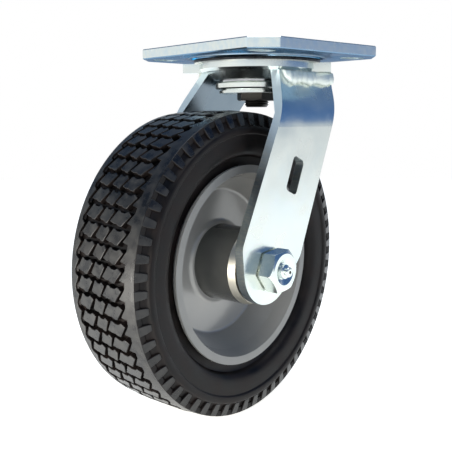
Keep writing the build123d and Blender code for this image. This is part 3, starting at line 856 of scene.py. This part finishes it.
class CastorColours(bpy.types.PropertyGroup):
    """Colours of the castor's finishes and of the floor"""

    zinc_cool: bpy.props.FloatVectorProperty(
        name="Zinc, cool", description="Zinc plate where its passivation is bluest",
        subtype="COLOR", size=4, default=linear("CBD9DE"),
    )
    zinc_warm: bpy.props.FloatVectorProperty(
        name="Zinc, warm", description="Zinc plate where its passivation is palest",
        subtype="COLOR", size=4, default=linear("EEEEE1"),
    )
    # Painted reflection: the dark blue of the plate's underside stands in for blue and shade it
    # reflects.
    painted_underside_blue: bpy.props.FloatVectorProperty(
        name="Zinc, blue", description="The plate's underside, where the passivation ran together",
        subtype="COLOR", size=4, default=linear("5E7F9F"),
    )
    # Painted shade: the grey of the legs' inner faces, where they face the wheel.
    inner_shade_dark: bpy.props.FloatVectorProperty(
        name="Zinc, dull dark", description="Inner faces of the legs where they are darkest",
        subtype="COLOR", size=4, default=linear("68757E"),
    )
    inner_shade_light: bpy.props.FloatVectorProperty(
        name="Zinc, dull light", description="Inner faces of the legs where they are lightest",
        subtype="COLOR", size=4, default=linear("8A949B"),
    )
    # This colour also gives the pale clouds in the painted blue reflection under the plate.
    edge_dark: bpy.props.FloatVectorProperty(
        name="Sheared edge", description="Lines on the legs' edges, and pale clouds on blue zinc",
        subtype="COLOR", size=4, default=linear("9DB2C0"),
    )
    edge_light: bpy.props.FloatVectorProperty(
        name="Punched edge", description="Drawn lines on the plate's punched edges",
        subtype="COLOR", size=4, default=linear("BFD6E4"),
    )
    # The cream of the hub's ends is a painted reflection.
    faced_metal: bpy.props.FloatVectorProperty(
        name="Faced metal", description="The hub's lathe-faced ends",
        subtype="COLOR", size=4, default=linear("CFCABB"),
    )
    # On the grease fitting this black is painted shade in the valve's pit.
    black_oxide: bpy.props.FloatVectorProperty(
        name="Black oxide", description="Kingpin and its nut, thrust washers, grease valve",
        subtype="COLOR", size=4, default=linear("3C3935"),
    )
    rubber_dark: bpy.props.FloatVectorProperty(
        name="Rubber, dark", description="Fresh tyre rubber",
        subtype="COLOR", size=4, default=linear("090808"),
    )
    rubber_light: bpy.props.FloatVectorProperty(
        name="Rubber, light", description="Tyre rubber with bloom on it",
        subtype="COLOR", size=4, default=linear("1A1412"),
    )
    # The tread faces' tint wanders at random between these two.
    tread_dark: bpy.props.FloatVectorProperty(
        name="Tread, dark", description="Tread faces where they are clean",
        subtype="COLOR", size=4, default=linear("0B0B0C"),
    )
    tread_light: bpy.props.FloatVectorProperty(
        name="Tread, light", description="Tread faces where dust and scuffs sit",
        subtype="COLOR", size=4, default=linear("2A2927"),
    )
    seal_sheen: bpy.props.FloatVectorProperty(
        name="Seal sheen", description="Oiled streaks on the lip seals",
        subtype="COLOR", size=4, default=linear("202123"),
    )
    enamel_dark: bpy.props.FloatVectorProperty(
        name="Enamel, dark", description="Rim and web where the enamel lies thick",
        subtype="COLOR", size=4, default=linear("9A9995"),
    )
    enamel_light: bpy.props.FloatVectorProperty(
        name="Enamel, light", description="Rim and web where the enamel lies thin",
        subtype="COLOR", size=4, default=linear("A9A7A2"),
    )
    # Painted shade on the hub's barrel, inside the rim.
    barrel_shade_dark: bpy.props.FloatVectorProperty(
        name="Barrel, dark", description="Hub barrel under its film of grease",
        subtype="COLOR", size=4, default=linear("4E4F4D"),
    )
    barrel_shade_light: bpy.props.FloatVectorProperty(
        name="Barrel, light", description="Hub barrel where the film is thin",
        subtype="COLOR", size=4, default=linear("6E6D68"),
    )
    # Painted shade on the rim's lip.
    lip_shade_dark: bpy.props.FloatVectorProperty(
        name="Lip, dark", description="Rim lip where the tyre rubbed it most",
        subtype="COLOR", size=4, default=linear("757572"),
    )
    lip_shade_light: bpy.props.FloatVectorProperty(
        name="Lip, light", description="Rim lip where the tyre rubbed it least",
        subtype="COLOR", size=4, default=linear("8F8E8A"),
    )
    ground_steel: bpy.props.FloatVectorProperty(
        name="Ground steel", description="Balls, rollers and bearing rings",
        subtype="COLOR", size=4, default=linear("B9BBBE"),
    )
    floor: bpy.props.FloatVectorProperty(
        name="Floor", description="Pale studio floor",
        subtype="COLOR", size=4, default=linear("F4F3EE"),
    )


class CastorTyre(bpy.types.PropertyGroup):
    """Sizes of the tyre's tread"""

    block_count: bpy.props.IntProperty(
        name="Blocks round", description="Tread blocks in each column, and lugs on each shoulder",
        default=58, min=12,
    )
    block_share: bpy.props.FloatProperty(
        name="Block share", description="How much of its place a tread block takes each way",
        subtype="FACTOR", default=0.92, min=0.5, max=1,
    )
    lug_phase: bpy.props.FloatProperty(
        name="Lug phase", description="Where the first shoulder lug stands, round the wheel",
        subtype="ANGLE", unit="ROTATION", default=math.radians(1.7),
    )
    groove_depth: bpy.props.FloatProperty(
        name="Groove depth", description="How deep the tread is cut",
        unit="LENGTH", default=2.8 * MM,
    )
    block_draft: bpy.props.FloatProperty(
        name="Block draft", description="How far each block's foot spreads past its top",
        unit="LENGTH", default=0.25 * MM,
    )
    edge_round: bpy.props.FloatProperty(
        name="Edge rounding", description="Rounding of the moulded edges",
        unit="LENGTH", default=0.22 * MM,
    )


class CastorFasteners(bpy.types.PropertyGroup):
    """Sizes of the axle bolt and of the welds"""

    axle_diameter: bpy.props.FloatProperty(
        name="Axle bolt", description="Diameter of the axle bolt's shank",
        unit="LENGTH", default=12.7 * MM,
    )
    head_flats: bpy.props.FloatProperty(
        name="Head flats", description="Bolt head across its flats",
        unit="LENGTH", default=19.05 * MM,
    )
    head_face: bpy.props.FloatProperty(
        name="Head face", description="Radius of the round face that the head's chamfer leaves",
        unit="LENGTH", default=8.65 * MM,
    )
    head_corner: bpy.props.FloatProperty(
        name="Head corner", description="Where one corner of the bolt head stands",
        subtype="ANGLE", unit="ROTATION", default=math.radians(7.0),
    )
    washer_face: bpy.props.FloatProperty(
        name="Washer face", description="Radius of the thin round step under the head",
        unit="LENGTH", default=8.6 * MM,
    )
    weld_ripple: bpy.props.FloatProperty(
        name="Weld ripple", description="Length of one ripple of a weld bead",
        unit="LENGTH", default=4.2 * MM,
    )


class CastorStage(bpy.types.PropertyGroup):
    """The camera's place, the floor and the light"""

    camera_place: bpy.props.FloatVectorProperty(
        name="Camera place", description="Where the camera stands, from the plate's centre",
        subtype="TRANSLATION", unit="LENGTH", size=3, default=(-0.2690, -0.2860, -0.0373),
    )
    camera_turn: bpy.props.FloatProperty(
        name="Camera turn", description="Turn about the vertical from looking along the plate",
        subtype="ANGLE", unit="ROTATION", default=math.radians(-40.85),
    )
    camera_dip: bpy.props.FloatProperty(
        name="Camera dip", description="How far below the horizon the camera looks",
        subtype="ANGLE", unit="ROTATION", default=math.radians(8.32),
    )
    lens: bpy.props.FloatProperty(
        name="Lens", description="Focal length on a 36 mm wide sensor",
        unit="CAMERA", default=57.57,
    )
    floor_radius: bpy.props.FloatProperty(
        name="Floor radius", description="The round floor's radius",
        unit="LENGTH", default=1.5,
    )
    table_glow: bpy.props.FloatProperty(
        name="Table glow", description="How brightly the floor is lit from below",
        default=1.0, min=0,
    )
    air_strength: bpy.props.FloatProperty(
        name="Air strength", description="Brightness of the dome that lights the scene",
        default=1.0, min=0,
    )


class CASTOR_OT_fork_and_plate(bpy.types.Operator):
    """Finishes the plate, the yoke, the nuts, the washers and the bearings"""

    bl_idname = "castor.fork_and_plate"
    bl_label = "Fork and Plate"

    def execute(self, context):
        colours = context.scene.castor_colours
        plated = (
            "top_plate", "lower_race_cup", "race_washer", "yoke_base", "near_leg", "far_leg",
            "axle_nut",
        )
        dress(plated, bright_zinc(colours))
        # The plate's downward faces get the painted blue reflection.
        dress_faces("top_plate", painted_reflection_zinc(colours), lambda centre, normal: normal.z < -FACING)
        dress_faces(
            "top_plate", punched_zinc(colours), lambda centre, normal: abs(normal.z) < FACING
        )
        sheared = sheared_zinc(colours)
        dull = inner_shade_zinc(colours)
        for leg, inward in (("near_leg", AXLE_LINE), ("far_leg", -AXLE_LINE)):
            dress_faces(leg, sheared, lambda centre, normal: abs(normal.dot(AXLE_LINE)) < EDGE_ON)
            # The inner faces, towards the wheel, get the painted shade.
            dress_faces(leg, dull, lambda centre, normal: normal.dot(inward) > FACING)
        blackened = ("kingpin_nut", "near_thrust_washer", "far_thrust_washer")
        dress(blackened, black_oxide(colours))
        bearing = (
            "upper_balls", "lower_balls", "upper_retainer", "lower_retainer",
            "axle_bushing", "bearing_rollers", "roller_cage", "bearing_sleeve",
        )
        dress(bearing, ground_steel(colours))
        return {"FINISHED"}


class CASTOR_OT_fasteners(bpy.types.Operator):
    """Builds the axle bolt with its dished head and thread, its grease fitting, and the kingpin"""

    bl_idname = "castor.fasteners"
    bl_label = "Bolt and Kingpin"

    def execute(self, context):
        sizes = context.scene.castor_fasteners
        colours = context.scene.castor_colours
        zinc = bright_zinc(colours)
        corner = math.degrees(sizes.head_corner)
        bolt_edge, fitting_edge, pin_edge = 0.12 * MM, 0.1 * MM, 0.08 * MM

        shape = bmesh.new()
        turn_rows(shape, bolt_rows(sizes, corner), wheel_point, first_angle=corner)
        bolt = finish_mesh("axle_bolt_detail", shape, (zinc,), "yoke")
        soften(bolt, bolt_edge)
        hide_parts("axle_bolt")

        shape = bmesh.new()
        turn_rows(shape, fitting_rows(), wheel_point, steps=36)
        # The faces round the valve, in the pit at the fitting's tip, are dark with painted shade.
        valve, valve_reach = wheel_point(-47.0, 0.0, 0.0), 0.8 * MM
        for face in shape.faces:
            if (face.calc_center_median() - valve).length < valve_reach:
                face.material_index = VALVE_PIT_SHADE
        fitting = finish_mesh("grease_fitting_detail", shape, (zinc, black_oxide(colours)), "yoke")
        soften(fitting, fitting_edge)
        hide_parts("grease_fitting")

        shape = bmesh.new()
        turn_rows(shape, kingpin_rows(), pin_point)
        pin = finish_mesh("threaded_kingpin", shape, (black_oxide(colours),), "plate")
        soften(pin, pin_edge)
        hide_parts("kingpin")
        return {"FINISHED"}


class CASTOR_OT_welds(bpy.types.Operator):
    """Builds the rippled weld beads along the tops of the legs"""

    bl_idname = "castor.welds"
    bl_label = "Weld Beads"

    def execute(self, context):
        ripple = context.scene.castor_fasteners.weld_ripple / MM
        zinc = weld_zinc(context.scene.castor_colours)
        bead_length, steps = 42.6, 120
        for side, name in ((-1, "near_weld"), (1, "far_weld")):
            low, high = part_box(name)
            corners = [Vector((x, y, 0)) for x in (low[0], high[0]) for y in (low[1], high[1])]
            middle = sum((FORK.inverted() @ corner).x for corner in corners) / 4 / MM
            shape = bmesh.new()
            rings = []
            for step in range(steps + 1):
                share = step / steps
                along = middle + (share - 0.5) * bead_length
                fullness = bead_fullness(along, share, ripple, side)
                rings.append(bead_ring(shape, along, side, fullness))
            for here, there in zip(rings[:-1], rings[1:]):
                join_rings(shape, here, there)
            shape.faces.new(rings[0])
            shape.faces.new(rings[-1])
            bead = finish_mesh(name + "_bead", shape, (zinc,), "yoke", sharp=80.0)
            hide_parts(name)
        return {"FINISHED"}


class CASTOR_OT_wheel(bpy.types.Operator):
    """Finishes the wheel core and the seals"""

    bl_idname = "castor.wheel"
    bl_label = "Wheel Core"

    def execute(self, context):
        colours = context.scene.castor_colours
        dress(("wheel_core",), grey_enamel(colours))
        # The barrel and the lip get painted shade, and the hub's ends a cream tint that is a
        # painted reflection.
        dress_faces("wheel_core", barrel_shade_enamel(colours), on_barrel)
        dress_faces("wheel_core", faced_metal(colours), on_hub_end)
        dress_faces("wheel_core", lip_shade_enamel(colours), on_rim_lip)
        dress(("dust_seal", "near_hub_seal", "far_hub_seal"), seal_rubber(colours))
        return {"FINISHED"}


class CASTOR_OT_tyre(bpy.types.Operator):
    """Builds the tyre with its leaning tread blocks, toothed ribs and shoulder lugs"""

    bl_idname = "castor.tyre"
    bl_label = "Tyre"

    def execute(self, context):
        tyre = context.scene.castor_tyre
        colours = context.scene.castor_colours
        shape = bmesh.new()
        raise_carcass(shape, tyre)
        for column in (NEAR_COLUMN, MIDDLE_COLUMN, FAR_COLUMN):
            raise_column(shape, tyre, column)

        # The saw teeth of each rib follow the blocks beside them.
        near_teeth = ((-15.5, -0.12), (-15.4, 0.22), (-12.3, 0.78))
        far_teeth = ((18.0, -0.12), (17.8, 0.08), (15.7, 0.26), (18.1, 0.84))
        rib_edge = 21.1
        raise_rib(shape, tyre, near_teeth, -rib_edge, NEAR_COLUMN[2])
        raise_rib(shape, tyre, far_teeth, rib_edge, FAR_COLUMN[2])

        pitch = 360 / tyre.block_count
        for side in (-1, 1):
            for k in range(tyre.block_count):
                raise_lug(shape, side, math.degrees(tyre.lug_phase) + k * pitch, pitch)
        materials = (moulded_rubber(colours), grey_tread_rubber(colours))
        piece = finish_mesh("treaded_tyre", shape, materials, "wheel")
        soften(piece, tyre.edge_round, limit=40.0)
        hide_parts("tyre")
        return {"FINISHED"}


class CASTOR_OT_stage(bpy.types.Operator):
    """Sets the camera, the floor and the studio lights"""

    bl_idname = "castor.stage"
    bl_label = "Stage and Camera"

    def execute(self, context):
        stage = context.scene.castor_stage
        place_camera(context, stage)
        lay_floor(context, stage, context.scene.castor_colours)
        context.scene.world = studio_air(stage.air_strength)
        context.scene.view_settings.view_transform = "Standard"
        hang_lamps(context)
        return {"FINISHED"}


class CASTOR_PT_panel(bpy.types.Panel):
    """Lists the castor's steps, colours and sizes"""

    bl_label = "Castor"
    bl_idname = "CASTOR_PT_panel"
    bl_space_type = "VIEW_3D"
    bl_region_type = "UI"
    bl_category = "Castor"

    def draw(self, context):
        layout = self.layout
        for step in STEPS:
            layout.operator(step.bl_idname)
        scene = context.scene
        groups = (
            scene.castor_colours, scene.castor_tyre, scene.castor_fasteners, scene.castor_stage,
        )
        for group in groups:
            for name in group.__annotations__:
                layout.prop(group, name)


STEPS = (
    CASTOR_OT_fork_and_plate, CASTOR_OT_fasteners, CASTOR_OT_welds, CASTOR_OT_wheel,
    CASTOR_OT_tyre, CASTOR_OT_stage,
)
CLASSES = (CastorColours, CastorTyre, CastorFasteners, CastorStage, *STEPS, CASTOR_PT_panel)


def register():
    for cls in CLASSES:
        bpy.utils.register_class(cls)
    bpy.types.Scene.castor_colours = bpy.props.PointerProperty(type=CastorColours)
    bpy.types.Scene.castor_tyre = bpy.props.PointerProperty(type=CastorTyre)
    bpy.types.Scene.castor_fasteners = bpy.props.PointerProperty(type=CastorFasteners)
    bpy.types.Scene.castor_stage = bpy.props.PointerProperty(type=CastorStage)


def unregister():
    del bpy.types.Scene.castor_stage
    del bpy.types.Scene.castor_fasteners
    del bpy.types.Scene.castor_tyre
    del bpy.types.Scene.castor_colours
    for cls in reversed(CLASSES):
        bpy.utils.unregister_class(cls)


def main():
    register()
    bpy.ops.castor.fork_and_plate()
    bpy.ops.castor.fasteners()
    bpy.ops.castor.welds()
    bpy.ops.castor.wheel()
    bpy.ops.castor.tyre()
    bpy.ops.castor.stage()


if __name__ == "__main__":
    main()
